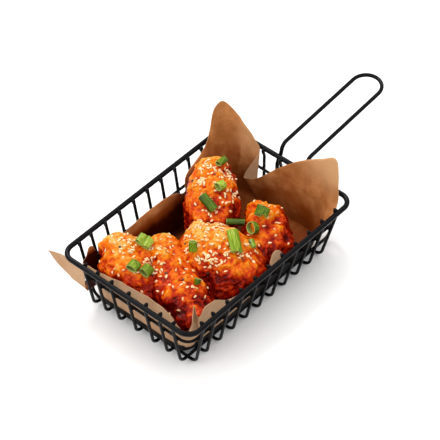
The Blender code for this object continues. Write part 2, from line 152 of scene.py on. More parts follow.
# Regions where the paper is marked by grease and painted shade, in mm from the rim's middle
LEFT_WALL_LINE = -48
TALL_CORNER_LINE = 60
FRONT_EDGE_LINE = -96
# The lighter kraft that is mixed in as painted light
PAINTED_LIGHT_KRAFT = (0.60, 0.33, 0.155)

# ---------------------------------------------------------------- the chicken
SWELL = 1.5  # mm that the crust stands out on the whole, over the softened solids
CRUST_GAP = 0.6  # mm that the crust keeps from the paper
VOXEL = 2.4 * MM  # step of the even mesh under the crust, before it is made finer
LIT_SIDE = (-0.45, 0.25, 0.85)  # towards the key lamp: the crust is painted paler on what faces this way, and redder and darker on what faces away, as shade
MOST_SAUCE_AND_SHADE = 0.50
# How much more sauce lies on a piece than on the others
SAUCE = {"tender_back": 0.0, "tender_front": 0.06, "tender_left": -0.04, "tender_middle": -0.07,
         "tender_right": 0.05}
# Where a piece stands out or draws in from its plain form: node, place, reach and push, all in mm
KNOBS = (
    ("tender_middle", (-24, -13, -13), 12, (7, 6, 0)),
    ("tender_right", (43, 64, -20), 14, (-4.5, -4, 0)),
    ("tender_right", (12, 68, -12), 8, (2.3, -2.7, -3.5)),
    ("tender_left", (-57, -73, -3), 10, (-4.5, -3.5, 0.5)),
)

# ---------------------------------------------------------------- what is scattered on the chicken
# Heaps of sesame seeds: across and along from the rim's middle, spread (in mm), how many
SESAME_HEAPS = (
    (-43, 50, 8, 22), (-42, 36, 6, 14), (-35, 60, 6, 12), (-28, 57, 5, 9), (-14, 46, 7, 14),
    (-10, 33, 7, 10), (-14, 12, 7, 10), (4, 2, 8, 18), (3, 18, 7, 8), (21, -27, 9, 26),
    (30, -24, 7, 16), (32, -14, 7, 8), (-6, -16, 8, 12), (5, -28, 8, 14), (-42, -66, 8, 10),
    (-33, -65, 7, 12), (-25, -51, 7, 14), (-14, -57, 7, 12), (-4, -61, 7, 9), (44, 0, 8, 12),
)
LOOSE_SEEDS = 190  # these fall anywhere, most of them on what stands highest
DARK_SEED_PLACES = ((-48, 33), (5, -61), (29, -34), (16, -31), (-35, 48), (-5, -25), (-3, -70), (-15, 40),
                    (36, 12), (-40, -70), (22, -58), (44, -6))
SEED_SIZES = (3.4, 1.85, 1.0)  # length, width and thickness in mm
DARK_SEED_SIZES = (2.8, 1.8, 0.95)
STEEPEST = 0.12  # no seed stays where the chicken's normal points up less than this
# How light each slice of spring onion is, from dark leaf to pale stem
ONION_TONES = (0.35, 0.72, 0.22, 0.30, 0.15, 0.28, 0.60, 0.48, 0.50, 0.66, 0.72, 0.42, 0.38, 0.25)

# ---------------------------------------------------------------- the studio
# The room is a pale tent. Its light grows between these heights of a direction, where 1 is overhead
SKY_RISE = (0.05, 0.75)
SKY_STRENGTH = (0.45, 1.45)
FLOOR_RADIUS = 4.0
FLOOR_DROP = 0.1 * MM  # below the basket's lowest point
# Lamps: name, place, diameter, power, colour
LAMPS = (
    ("key", (-0.95, 0.35, 1.25), 0.6, 9.5, (1.0, 0.99, 0.97)),
    ("fill", (-0.6, -1.3, 1.1), 1.2, 7.0, (1.0, 1.0, 1.0)),
)
LAMP_AIM = Vector((0.0, 0.0, 0.03))
CAMERA_AZIMUTH = math.radians(41.183)
CAMERA_ELEVATION = math.radians(45.401)
CAMERA_DISTANCE = 1.84606
CAMERA_AIM = Vector((0.00459, 0.01318, 0.06393))
CAMERA_LENS = 173.67
SENSOR = 36.0

# ---------------------------------------------------------------- random draws
# Each is fixed, so that every run gives the same basket. Without the first one, noise vectors would
# follow the clock
CRUMB_DRAW = 4
WELD_DRAW = 5
SEED_DRAW = 11
ONION_DRAW = 3

# ---------------------------------------------------------------- names of materials and slots
COAT = "black_powder_coat"
BATTER = "sauced_batter"
KRAFT = "kraft_paper"
ONION = "spring_onion_green"


def rim_point(x, y, z):
    """A point given in mm from the middle of the rim."""
    return Vector((x * MM, y * MM + RIM_SHIFT, z * MM + RIM_HEIGHT))


# ---------------------------------------------------------------- shader helpers
class Shader:
    """A material whose nodes are added and linked in one call each."""

    def __init__(self, name):
        self.material = bpy.data.materials.new(name)
        self.material.use_nodes = True
        self.tree = self.material.node_tree
        self.principled = self.tree.nodes["Principled BSDF"]
        self.place = self.node("ShaderNodeTexCoord").outputs["Object"]

    def node(self, kind, **settings):
        made = self.tree.nodes.new(kind)
        for name, value in settings.items():
            setattr(made, name, value)
        return made

    def feed(self, socket, value):
        if isinstance(value, bpy.types.NodeSocket):
            self.tree.links.new(value, socket)
        elif isinstance(value, (tuple, list)) and len(value) == 3 and socket.type == "RGBA":
            socket.default_value = (*value, 1.0)
        else:
            socket.default_value = value

    def set(self, name, value):
        self.feed(self.principled.inputs[name], value)

    def attribute(self, name):
        return self.node("ShaderNodeAttribute", attribute_name=name).outputs["Fac"]

    def noise(self, scale, detail=2.0, rough=0.5, where=None):
        made = self.node("ShaderNodeTexNoise")
        self.feed(made.inputs["Vector"], self.place if where is None else where)
        made.inputs["Scale"].default_value = scale
        made.inputs["Detail"].default_value = detail
        made.inputs["Roughness"].default_value = rough
        return made.outputs["Fac"]

    def cells(self, scale):
        made = self.node("ShaderNodeTexVoronoi")
        self.feed(made.inputs["Vector"], self.place)
        made.inputs["Scale"].default_value = scale
        return made.outputs["Distance"]

    def maths(self, operation, one, two=0.0, clamp=False):
        made = self.node("ShaderNodeMath", operation=operation, use_clamp=clamp)
        self.feed(made.inputs[0], one)
        self.feed(made.inputs[1], two)
        return made.outputs[0]

    def span(self, value, low, high, to_low=0.0, to_high=1.0):
        made = self.node("ShaderNodeMapRange", interpolation_type="SMOOTHSTEP")
        for socket, given in zip(made.inputs, (value, low, high, to_low, to_high)):
            self.feed(socket, given)
        return made.outputs[0]

    def mix(self, share, one, two, blend="MIX"):
        made = self.node("ShaderNodeMix", data_type="RGBA", blend_type=blend)
        self.feed(made.inputs[0], share)
        self.feed(made.inputs[6], one)
        self.feed(made.inputs[7], two)
        return made.outputs[2]

    def ramp(self, value, stops):
        made = self.node("ShaderNodeValToRGB")
        band = made.color_ramp
        while len(band.elements) < len(stops):
            band.elements.new(0.5)
        for element, (place, colour) in zip(band.elements, stops):
            element.position = place
            element.color = (*colour, 1.0)
        self.feed(made.inputs[0], value)
        return made.outputs[0]

    def bump(self, height, strength, distance):
        made = self.node("ShaderNodeBump")
        made.inputs["Strength"].default_value = strength
        made.inputs["Distance"].default_value = distance
        self.feed(made.inputs["Height"], height)
        self.set("Normal", made.outputs[0])


def powder_coat():
    """Black with a faint orange peel."""
    s = Shader(COAT)
    peel = s.noise(650.0, 2.0)
    s.set("Base Color", s.mix(s.noise(90.0), (0.002, 0.002, 0.003), (0.005, 0.005, 0.006)))
    s.set("Roughness", s.span(peel, 0.3, 0.7, 0.15, 0.22))
    s.principled.inputs["Specular IOR Level"].default_value = 0.08
    s.bump(peel, 0.2, 0.0003)
    return s.material


def kraft(name, light, dark, soak_and_shade, stain_and_shade, soaked_roughness):
    """Kraft paper: fibres and faint mottling, darker and glossier where the given attribute says, which
    marks sauce and oil soaked in and also painted shade. The two colours given for it are of a light and
    of a full soaking, and serve for both. Where the pale attribute says, a lighter kraft is mixed in as
    painted light."""
    s = Shader(name)
    fibres = s.noise(1400.0, 3.0, 0.7)
    mottle = s.noise(55.0, 5.0, 0.62)
    bare = s.mix(s.span(mottle, 0.32, 0.68), dark, light)
    bare = s.mix(s.span(fibres, 0.35, 0.75, 0.0, 0.16), bare, dark)
    specks = s.maths("MULTIPLY", s.span(s.cells(300.0), 0.08, 0.16, 1.0, 0.0), s.span(mottle, 0.42, 0.58))
    bare = s.mix(s.maths("MULTIPLY", specks, 0.5), bare, stain_and_shade[1])
    blotch = s.maths("MULTIPLY", s.maths("SUBTRACT", s.noise(42.0, 4.0, 0.65), 0.5), 0.75)
    # Painted light: a lighter kraft where the pale attribute says
    bare = s.mix(s.attribute("pale"), bare, PAINTED_LIGHT_KRAFT)
    wet_and_shaded = s.maths("ADD", s.attribute(soak_and_shade), blotch, clamp=True)
    colour = s.mix(s.span(wet_and_shaded, 0.10, 0.55), bare, stain_and_shade[0])
    colour = s.mix(s.span(wet_and_shaded, 0.50, 0.95), colour, stain_and_shade[1])
    s.set("Base Color", colour)
    s.set("Roughness", s.span(wet_and_shaded, 0.2, 0.9, 0.75, soaked_roughness))
    s.principled.inputs["Specular IOR Level"].default_value = 0.12
    s.bump(s.maths("ADD", s.maths("MULTIPLY", fibres, 0.4), mottle), 0.22, 0.0004)
    return s.material


def sauced_crust():
    """Sauce over crumb: pale and yellow on the lumps, where the sauce is thin and the palest stop paints
    highlights, deep red where it gathers and where shade is painted in.
    """
    s = Shader(BATTER)
    crust = s.attribute("crust")
    # Painted shade: this attribute makes the crust redder and darker on what faces away from the key lamp
    # and lower down, on top of each piece's own sauce
    sauce_and_shade = s.attribute("sauce_and_shade")
    grain = s.maths("SUBTRACT", s.noise(520.0, 3.0, 0.6), 0.5)
    patch = s.maths("SUBTRACT", s.noise(110.0, 4.0, 0.6), 0.5)
    tone = s.maths("ADD", crust, s.maths("MULTIPLY", grain, 0.36))
    tone = s.maths("ADD", tone, s.maths("MULTIPLY", patch, 0.52))
    tone = s.maths("SUBTRACT", tone, sauce_and_shade, clamp=True)
    # The palest stop paints the highlights on the crests
    colour = s.ramp(tone, (
        (0.00, (0.070, 0.001, 0.0003)),
        (0.19, (0.240, 0.006, 0.0004)),
        (0.38, (0.460, 0.028, 0.0007)),
        (0.57, (0.630, 0.100, 0.0010)),
        (0.77, (0.670, 0.195, 0.0040)),
        (0.97, (0.710, 0.370, 0.0850)),
    ))
    s.set("Base Color", colour)
    s.set("Roughness", s.span(grain, -0.2, 0.2, 0.15, 0.34))
    s.principled.inputs["Specular IOR Level"].default_value = 0.07
    s.principled.inputs["Subsurface Weight"].default_value = 0.10
    s.principled.inputs["Subsurface Radius"].default_value = (1.0, 0.35, 0.1)
    s.principled.inputs["Subsurface Scale"].default_value = 0.0015
    s.principled.inputs["Coat Weight"].default_value = 0.04
    s.principled.inputs["Coat Roughness"].default_value = 0.12
    s.bump(s.maths("ADD", grain, s.maths("MULTIPLY", s.noise(1100.0, 2.0), 0.4)), 0.4, 0.0006)
    return s.material


def sesame(name, low, high):
    """A seed's skin, each seed with its own tone between low and high."""
    s = Shader(name)
    tone = s.attribute("tone")
    grain = s.noise(1500.0, 2.0)
    s.set("Base Color", s.mix(s.span(grain, 0.3, 0.7, 0.0, 0.25), s.mix(tone, low, high), low))
    s.set("Roughness", 0.38)
    s.principled.inputs["Subsurface Weight"].default_value = 0.1
    s.principled.inputs["Subsurface Scale"].default_value = 0.0008
    s.bump(grain, 0.15, 0.0002)
    return s.material


def onion_skin():
    """Green outside with lengthwise veins, cream at the cuts, yellow-green inside."""
    s = Shader(ONION)
    around = s.attribute("around")
    along = s.attribute("along")
    cut = s.attribute("cut")
    tone = s.attribute("tone")
    lie = s.node("ShaderNodeCombineXYZ")
    s.feed(lie.inputs[0], s.maths("MULTIPLY", around, 9.0))
    s.feed(lie.inputs[1], s.maths("MULTIPLY", along, 0.5))
    s.feed(lie.inputs[2], s.maths("MULTIPLY", tone, 20.0))
    veins = s.noise(1.6, 3.0, 0.6, lie.outputs[0])
    shade = s.maths("ADD", s.maths("MULTIPLY", s.maths("SUBTRACT", veins, 0.5), 1.5), tone, clamp=True)
    green = s.ramp(shade, (
        (0.0, (0.006, 0.016, 0.001)),
        (0.30, (0.045, 0.088, 0.002)),
        (0.60, (0.130, 0.215, 0.004)),
        (0.85, (0.270, 0.370, 0.015)),
        (1.0, (0.460, 0.540, 0.120)),
    ))
    s.set("Base Color", s.mix(cut, green, (0.42, 0.50, 0.14)))
    s.set("Roughness", 0.22)
    s.principled.inputs["Specular IOR Level"].default_value = 0.22
    s.principled.inputs["Subsurface Weight"].default_value = 0.1
    s.principled.inputs["Subsurface Scale"].default_value = 0.001
    s.bump(veins, 0.25, 0.0003)
    return s.material


# ---------------------------------------------------------------- making pieces
def add_piece(name, mesh, material, slot, *nodes):
    """A smooth-shaded piece on the root body that stands for the given CAD nodes."""
    mesh.name = name
    if not mesh.materials:
        mesh.materials.append(material)
    mesh.shade_smooth()
    piece = bpy.data.objects.new(name, mesh)
    bpy.context.scene.collection.objects.link(piece)
    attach(piece, "root")
    if nodes:
        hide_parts(*nodes)


def to_mesh(name, bm, closed=True):
    """Turn a bmesh into a mesh. Faces of a closed one are made to look outwards."""
    if closed:
        bmesh.ops.recalc_face_normals(bm, faces=bm.faces)
    mesh = bpy.data.meshes.new(name)
    bm.to_mesh(mesh)
    bm.free()
    return mesh


def set_attribute(mesh, name, values):
    """Give each point of a mesh a number that its material reads."""
    made = mesh.attributes.new(name, "FLOAT", "POINT")
    made.data.foreach_set("value", np.asarray(values, np.float32))


def surface_tree(mesh):
    return BVHTree.FromPolygons([v.co for v in mesh.vertices], [p.vertices for p in mesh.polygons])


# ---------------------------------------------------------------- wires
def fillet(before, corner, after, radius, steps):
    """Points of a round bend that replaces a sharp corner."""
    one = (before - corner).normalized()
    two = (after - corner).normalized()
    half = one.angle(two) / 2
    reach = radius / math.tan(half)
    middle = corner + (one + two).normalized() * radius / math.sin(half)
    start = corner + one * reach - middle
    end = corner + two * reach - middle
    return [middle + start.slerp(end, i / steps) * radius / start.slerp(end, i / steps).length
            for i in range(steps + 1)]


def rounded(corners, radii, steps):
    """An open path with its inner corners rounded, each by its own radius."""
    path = [corners[0]]
    for i in range(1, len(corners) - 1):
        path += fillet(corners[i - 1], corners[i], corners[i + 1], radii[i - 1], steps)
    return path + [corners[-1]]


def dome(path, radius, rings=4):
    """The path and its radii with both ends rounded off."""
    points = list(path)
    radii = [radius] * len(points)
    for end in (0, -1):
        tip = points[end]
        run = (tip - points[1 if end == 0 else -2]).normalized()
        cap = []
        for k in range(rings + 1):
            lean = math.radians(86) * k / rings
            cap.append((tip + run * radius * (math.sin(lean) - 1) * 0.7, radius * math.cos(lean)))
        if end == 0:
            points = [p for p, r in cap[::-1]] + points[1:]
            radii = [r for p, r in cap[::-1]] + radii[1:]
        else:
            points = points[:-1] + [p for p, r in cap]
            radii = radii[:-1] + [r for p, r in cap]
    return points, radii


def add_tube(bm, path, radii, sides, first, closed=False):
    """A round bar along a path, its section turning as little as it can."""
    count = len(path)
    side = first
    rings = []
    for i, point in enumerate(path):
        before = path[i - 1] if closed or i else point
        after = path[(i + 1) % count] if closed or i < count - 1 else point
        tangent = (after - before).normalized()
        side = (side - side.dot(tangent) * tangent).normalized()
        up = tangent.cross(side)
        ring = []
        for k in range(sides):
            angle = k * math.tau / sides
            ring.append(bm.verts.new(point + radii[i] * (math.sin(angle) * side + math.cos(angle) * up)))
        rings.append(ring)
    for i in range(count if closed else count - 1):
        ring, other = rings[i], rings[(i + 1) % count]
        for k in range(sides):
            n = (k + 1) % sides
            bm.faces.new((ring[k], ring[n], other[n], other[k]))
    if not closed:
        bm.faces.new(rings[0])
        bm.faces.new(rings[-1])


def add_bead(bm, centre, sizes, detail=2):
    """A rounded blob of weld, with its half sizes along X, Y and Z."""
    place = Matrix.Translation(centre) @ Matrix.Diagonal((*sizes, 1.0))
    bmesh.ops.create_icosphere(bm, subdivisions=detail, radius=1.0, matrix=place)


def wall_loop(inset, depths, radius, steps, left_extra=0.0):
    """The loop that follows all four walls, inset from the rim's line, with round corners. depths are
    how far it lies below the rim on the left and on the right."""
    ends = []
    for way, depth, extra in zip((-1, 1), depths, (left_extra, 0.0)):
        x = way * (RIM_WIDTH / 2 - inset - extra - SIDE_SLOPE * depth)
        front = RIM_SHIFT - RIM_LENGTH / 2 + inset + FRONT_SLOPE * depth
        back = RIM_SHIFT + RIM_LENGTH / 2 - inset
        ends.append([Vector((x, y, RIM_HEIGHT - depth)) for y in (front, back)])
    (left_front, left_back), (right_front, right_back) = ends
    corners = [left_front, right_front, right_back, left_back]
    points = []
    for i, corner in enumerate(corners):
        points += fillet(corners[i - 1], corner, corners[(i + 1) % 4], radius, steps)
    return [p for i, p in enumerate(points) for p in with_middles(p, points[(i + 1) % len(points)])]


def with_middles(start, end, pitch=12 * MM):
    """start, and evenly spaced points on the way to end if that is far."""
    count = max(1, round((end - start).length / pitch))
    return [start.lerp(end, i / count) for i in range(count)]


def upright_top(inset):
    """An upright's top as (inset from the rim's line, height above the rim), from its end down. It
    stands beside the rim, and tucks under it where the wall starts nearer to the rim's line."""
    beside = RIM_WIRE + FINE_WIRE + CLEAR
    top = [(beside, UPRIGHT_TOP), (beside, -0.1 * beside)]
    if inset < 0.8 * beside:
        top += [(0.78 * beside, -0.66 * beside), (inset + 0.1 * MM, -1.3 * beside)]
    return top


def bent_wire(start, end, place, floor):
    """A wire bent to a U. start and end are (rim's line, upright inset, slope) of its walls, place
    turns (way along it, height) into a point, and floor is its foot's height."""
    depth = RIM_HEIGHT - floor
    tops = []
    corners = []
    for (line, inset, slope), inward in ((start, 1), (end, -1)):
        tops.append([place(line + inward * across, RIM_HEIGHT + above)
                     for across, above in upright_top(inset)])
        corners.append(place(line + inward * (inset + slope * depth), floor))
    path = tops[0] + corners + tops[1][::-1]
    radii = [TOP_BEND] * (len(tops[0]) - 1) + [BASE_BEND] * 2 + [TOP_BEND] * (len(tops[1]) - 1)
    return rounded(path, radii, 7)


def cross_place(count):
    """How a crosswise wire's x and z become a point in its leaning plane."""
    low = count * CROSS_PITCH / CROSS_SPREAD + CROSS_SHIFT
    high = count * CROSS_PITCH + CROSS_TOP_SHIFT

    def place(x, z):
        share = (z - FINE_FLAT) / (RIM_HEIGHT - FINE_FLAT)
        return Vector((x, low + (high - low) * share, z))
    return place


def long_place(x, drift):
    """How a lengthwise wire's y and z become a point, a little askew over the crosswise ones."""
    def place(y, z):
        share = (y - RIM_SHIFT) / RIM_LENGTH + 0.5
        return Vector((x + drift * share, y, z))
    return place


def make_basket(black):
    """The rim, the ring, the bent wires and the beads that weld them together."""
    half = RIM_WIDTH / 2
    front = RIM_SHIFT - RIM_LENGTH / 2
    back = RIM_SHIFT + RIM_LENGTH / 2
    beside = RIM_WIRE + FINE_WIRE * 0.6
    welds = bmesh.new()
    chance = random.Random(WELD_DRAW)

    def weld(point, sizes, detail=2):
        swell = chance.uniform(0.9, 1.15)
        add_bead(welds, point, [size * swell * MM for size in sizes], detail)

    def weld_uprights(place, ends):
        """Weld a wire's two uprights to the rim and to the ring."""
        for (line, inset, slope), inward in ends:
            for above, sizes in RIM_BEADS:
                weld(place(line + inward * beside, RIM_HEIGHT + above * MM), sizes)
            share = place(line, RIM_HEIGHT).x / RIM_WIDTH + 0.5
            depth = RING_DEPTHS[0] + (RING_DEPTHS[1] - RING_DEPTHS[0]) * share
            meet = inset + FINE_WIRE + slope * depth
            weld(place(line + inward * meet, RIM_HEIGHT - depth), RING_BEAD)

    ring_inset = UPRIGHT_INSET + FINE_WIRE + RING_WIRE + CLEAR
    rim = wall_loop(0.0, (0.0, 0.0), RIM_CORNER, 14)
    ring = wall_loop(ring_inset, RING_DEPTHS, RING_CORNER, 10, LEFT_INSET - UPRIGHT_INSET)
    for node, path, radius, sides in (("rim", rim, RIM_WIRE, 20), ("ring", ring, RING_WIRE, 14)):
        bm = bmesh.new()
        add_tube(bm, path, [radius] * len(path), sides, UP, closed=True)
        add_piece(f"{node}_wire", to_mesh(node, bm), black, COAT, node)

    cross_ends = (((-half, LEFT_INSET, SIDE_SLOPE), 1), ((half, UPRIGHT_INSET, SIDE_SLOPE), -1))
    for number, count in enumerate(CROSS_COUNTS, 1):
        place = cross_place(count)
        path = bent_wire(cross_ends[0][0], cross_ends[1][0], place, FINE_FLAT)
        bm = bmesh.new()
        add_tube(bm, *dome(path, FINE_WIRE), 14, Vector((0.0, 1.0, 0.0)))
        node = f"cross_wire_{number:02d}"
        add_piece(f"{node}_round", to_mesh(node, bm), black, COAT, node)
        weld_uprights(place, cross_ends)

    long_ends = (((front, UPRIGHT_INSET, FRONT_SLOPE), 1), ((back, UPRIGHT_INSET, 0.0), -1))
    long_floor = 3 * FINE_FLAT + CLEAR
    outer = max(LONG_PLACES)
    for number, across in enumerate(LONG_PLACES, 1):
        drift = 0.0 if abs(across) == outer else LONG_DRIFT
        place = long_place(across * MM + LONG_SHIFT, drift)
        path = bent_wire(long_ends[0][0], long_ends[1][0], place, long_floor)
        bm = bmesh.new()
        add_tube(bm, *dome(path, FINE_WIRE), 14, Vector((1.0, 0.0, 0.0)))
        node = f"long_wire_{number}"
        add_piece(f"{node}_round", to_mesh(node, bm), black, COAT, node)
        weld_uprights(place, long_ends)
        for count in CROSS_COUNTS:
            along = count * CROSS_PITCH / CROSS_SPREAD + CROSS_SHIFT
            weld(place(along, 2 * FINE_FLAT), CROSSING_BEAD, 1)
    for reach in (-HANDLE_HALF, HANDLE_HALF):
        for behind, above, sizes in HANDLE_BEADS:
            weld(Vector((HANDLE_MIDDLE + reach, back + behind * MM, RIM_HEIGHT + above * MM)), sizes)
    add_piece("weld_beads", to_mesh("weld_beads", welds), black, COAT)


def make_handle(black):
    """The legs rise behind the rim, bend back and run out to a half round end."""
    back = RIM_LENGTH / 2 / MM
    run = Vector((0.0, math.cos(HANDLE_RISE), math.sin(HANDLE_RISE)))
    reach = Vector((HANDLE_HALF, 0.0, 0.0))
    middle = Vector((HANDLE_MIDDLE, 0.0, 0.0))
    leg = [middle + rim_point(0, back + behind, above) for behind, above in HANDLE_LEG]
    leg = [catmull(leg, i / 30) for i in range(31)]
    hub = leg[-1] + run * HANDLE_STRAIGHT
    path = [point - reach for point in leg]
    path += with_middles(path[-1], hub - reach)[1:]
    for step in range(33):
        angle = math.pi * step / 32
        path.append(hub - math.cos(angle) * reach + math.sin(angle) * HANDLE_HALF * run)
    path += [point + reach for point in with_middles(leg[-1], hub)[:0:-1]]
    path += [point + reach for point in leg[::-1]]
    bm = bmesh.new()
    add_tube(bm, *dome(path, HANDLE_WIRE), 18, Vector((1.0, 0.0, 0.0)))
    add_piece("handle_loop", to_mesh("handle_loop", bm), black, COAT, "handle")


# ---------------------------------------------------------------- paper
def catmull(points, t):
    """A point on an open smooth curve through points, for t from 0 to 1."""
    spans = len(points) - 1
    place = min(t * spans, spans - 1e-6)
    i = int(place)
    f = place - i
    a, b, c, d = points[max(i - 1, 0)], points[i], points[i + 1], points[min(i + 2, spans)]
    return 0.5 * (2 * b + (c - a) * f + (2 * a - 5 * b + 4 * c - d) * f * f
                  + (3 * b - a - 3 * c + d) * f ** 3)


def smooth_loop(points, steps):
    """A closed Catmull-Rom curve through points, with steps samples on each stretch."""
    smooth = []
    count = len(points)
    for i in range(count):
        around = [points[(i + k) % count] for k in (-1, 0, 1, 2)]
        smooth += [catmull(around, (1 + step / steps) / 3) for step in range(steps)]
    return smooth


def foot_sizes():
    """Half width, front and back of the oblong that the paper's foot follows."""
    depth = RIM_HEIGHT - FLOOR
    side = RIM_WIDTH / 2 - PAPER_INSET - SIDE_SLOPE * depth - SIDE_SLUMP
    front = RIM_LENGTH / 2 - PAPER_INSET - FRONT_SLOPE * depth
    return side, front, RIM_LENGTH / 2 - PAPER_INSET - BACK_SLUMP


def foot_point(angle, share=1.0):
    """A point of the foot loop, or of the same loop made smaller."""
    side, front, back = foot_sizes()
    c, s = math.cos(angle), math.sin(angle)
    size = share / (abs(c) ** FOOT_ROUND + abs(s) ** FOOT_ROUND) ** (1 / FOOT_ROUND)
    return Vector((c * size * side, s * size * (back if s > 0 else front) + RIM_SHIFT, FLOOR))


def crease(point, size):
    """Ridged noise: mostly flat with narrow crests, as in paper that was crumpled once."""
    return (1 - min(1.0, 2.2 * abs(noise.noise(point / size)))) ** 3


def liner_rows():
    """The liner's middle surface as rows of points, from the floor's middle to the top edge. Each
    point of the edge stands over a point of the foot, and the two go round together."""
    edge = smooth_loop([rim_point(*point) for point in PAPER_EDGE], EDGE_STEPS)
    side, front, back = foot_sizes()
    angles = []
    for point in edge:
        y = point.y - RIM_SHIFT
        angle = math.atan2(y / (back if y > 0 else front), point.x / side)
        if angles:
            # Always a little further round, so that no two columns meet or cross
            while angle > angles[0]:
                angle -= math.tau
            angle = min(angle, angles[-1] - math.radians(1.6 / EDGE_STEPS))
        angles.append(angle)
    rows = [[foot_point(a, share) for a in angles]
            for share in np.linspace(0.12, 0.95, FLOOR_ROWS)]
    for share in np.linspace(0.02, 1.0, WALL_ROWS):
        rows.append([foot_point(a).lerp(top, share) for top, a in zip(edge, angles)])
    return np.array([[tuple(p) for p in row] for row in rows])


def share_of(value, low, high):
    """Where value lies between low and high, from 0 to 1, with soft ends."""
    t = max(0.0, min(1.0, (value - low) / (high - low)))
    return t * t * (3 - 2 * t)


def grid_normals(grid, closed):
    """Unit normals of a grid of points."""
    if closed:
        around = np.roll(grid, -1, axis=1) - np.roll(grid, 1, axis=1)
    else:
        around = np.gradient(grid, axis=1)
    across = np.gradient(grid, axis=0)
    normals = np.cross(around, across)
    return normals / np.maximum(np.linalg.norm(normals, axis=2, keepdims=True), 1e-12)


def crumple(grid, closed, amount):
    """Push a sheet's points along its normals by crumpled noise. amount is in mm, per row."""
    normals = grid_normals(grid, closed)
    moved = grid.copy()
    for i, row in enumerate(grid):
        for j, point in enumerate(row):
            p = Vector(point)
            push = noise.noise(p / (34 * MM)) + 0.45 * noise.noise(p / (13 * MM))
            push += 0.5 * crease(p, 30 * MM) - 0.35 * crease(p + Vector((0.3, 0.1, 0.2)), 21 * MM)
            moved[i, j] += normals[i, j] * push * amount[i] * MM
    return moved


def add_sheet(bm, grid, closed):
    """Add a grid of points to a bmesh as faces; the first row of a closed one is filled."""
    rows = [[bm.verts.new(point) for point in row] for row in grid]
    count = len(rows[0])
    for low, high in zip(rows, rows[1:]):
        for i in range(count if closed else count - 1):
            n = (i + 1) % count
            bm.faces.new((low[i], low[n], high[n], high[i]))
    if closed:
        bm.faces.new(rows[0])


def flap_grid():
    """The loose corner of the sheet at the front left."""
    along, across = FLAP_SHAPE
    rows = []
    sides = [[rim_point(*pair[k]) for pair in FLAP] for k in (0, 1)]
    for t in np.linspace(0, 1, along):
        left, right = catmull(sides[0], t), catmull(sides[1], t)
        row = []
        for share in np.linspace(0, 1, across):
            point = left.lerp(right, share)
            point.z += FLAP_RISE * math.sin(math.pi * share) * t ** 3
            row.append(tuple(point))
        rows.append(row)
    return np.array(rows)


def paper_stains_and_shade(x, y, z, near):
    """How dark the paper's inside and outside are, from grease soaked in and from painted shade, and how
    much light is painted on it, at a place in mm from the rim's middle. near is how far away the chicken
    is, in metres."""
    if y < FRONT_EDGE_LINE:
        inside = 0.1
    # Darker lower down and near the chicken: sauce soaked in, and painted shade
    elif x > LEFT_WALL_LINE:
        inside = 0.44 * share_of(-z, -16, 46) + 0.28 * math.exp(-near / (7 * MM))
    # The far left wall: darker lower down, as grease and painted shade; the last term paints the rim's
    # shadow into the front left corner
    elif y < TALL_CORNER_LINE:
        inside = 0.14 + 0.76 * share_of(-z, 14, 34) + 0.8 * share_of(-z, 5, 12) * share_of(-y, 66, 76)
    # The tall corner: darker towards the bottom
    else:
        inside = 0.5 * share_of(-z, -20, 30)

    # Outside, the paper is painted near black below a line that rises along the right wall, but not at the
    # back or left: painted shade where the lower walls lie in shadow, with some grease soaked through
    line = 42 if x < 50 else 45 - 11 * share_of(y, -85, 20)
    outside = 1.3 * share_of(-z, line, line + 3) if y < 80 and x > -51 else 0.0

    # Painted light: lighter kraft high on the right wing and on the tall corner's right part
    right_wing = 1.0 * share_of(x, -5, 50) * share_of(z, -8, 30)
    tall_corner = 0.75 * share_of(x, -62, -42) * share_of(z, -24, 12) * share_of(-x, 20, 30)
    return inside, outside, right_wing + tall_corner


def make_paper(inner, outer, food):
    """The tray and its loose flap as one thin solid. food is the chicken's surfaces."""
    bm = bmesh.new()
    grid = liner_rows()
    amount = [0.25] * FLOOR_ROWS + [0.3 + 1.0 * share ** 1.5 for share in np.linspace(0, 1, WALL_ROWS)]
    add_sheet(bm, crumple(grid, True, amount), True)
    flap = flap_grid()
    add_sheet(bm, crumple(flap, False, np.linspace(0.1, 1.6, len(flap)))[::-1], False)
    mesh = to_mesh("paper_liner", bm, closed=False)
    mesh.materials.append(inner)
    mesh.materials.append(outer)
    sheet = bpy.data.objects.new("sheet", mesh)
    bpy.context.scene.collection.objects.link(sheet)
    solid = sheet.modifiers.new("thickness", "SOLIDIFY")
    solid.thickness = PAPER
    solid.offset = 0.0
    solid.material_offset = 1
    solid.material_offset_rim = 1
    mesh = bpy.data.meshes.new_from_object(sheet.evaluated_get(bpy.context.evaluated_depsgraph_get()))
    bpy.data.objects.remove(sheet)
    stains_and_shade = []
    for vert in mesh.vertices:
        near = min(tree.find_nearest(vert.co)[3] for tree in food)
        stains_and_shade.append(paper_stains_and_shade(*(vert.co - rim_point(0, 0, 0)) / MM, near))
    for name, values in zip(("inside", "outside", "pale"), zip(*stains_and_shade)):
        set_attribute(mesh, name, values)
    add_piece("kraft_paper_liner", mesh, inner, KRAFT, "paper_liner")


# ---------------------------------------------------------------- chicken
def crust_lift(point):
    """How far the crust stands out, in mm, and how pale it is there, from 0 to 1. Both come from the same
    noise, from broad swellings down to grain, so the lumps are pale, as thin sauce and painted highlight,
    and the hollows between them red, as gathered sauce and painted shade."""
    bent = point + 3.0 * MM * noise.noise_vector(point / (11 * MM))
    broad = noise.noise(bent / (17 * MM))
    lumps = noise.noise(bent / (8 * MM) + Vector((3.1, 1.7, 0.4)))
    crags = noise.noise(bent / (3.6 * MM))
    grain = noise.noise(point / (1.7 * MM))
    ridge = crease(bent, 9 * MM)
    lift = SWELL + 2.0 * broad + 1.6 * lumps + 1.25 * crags + 0.40 * grain + 0.7 * ridge
    crust = 0.60 + 0.18 * broad + 0.22 * lumps + 0.24 * crags + 0.18 * grain + 0.12 * ridge
    return lift, crust


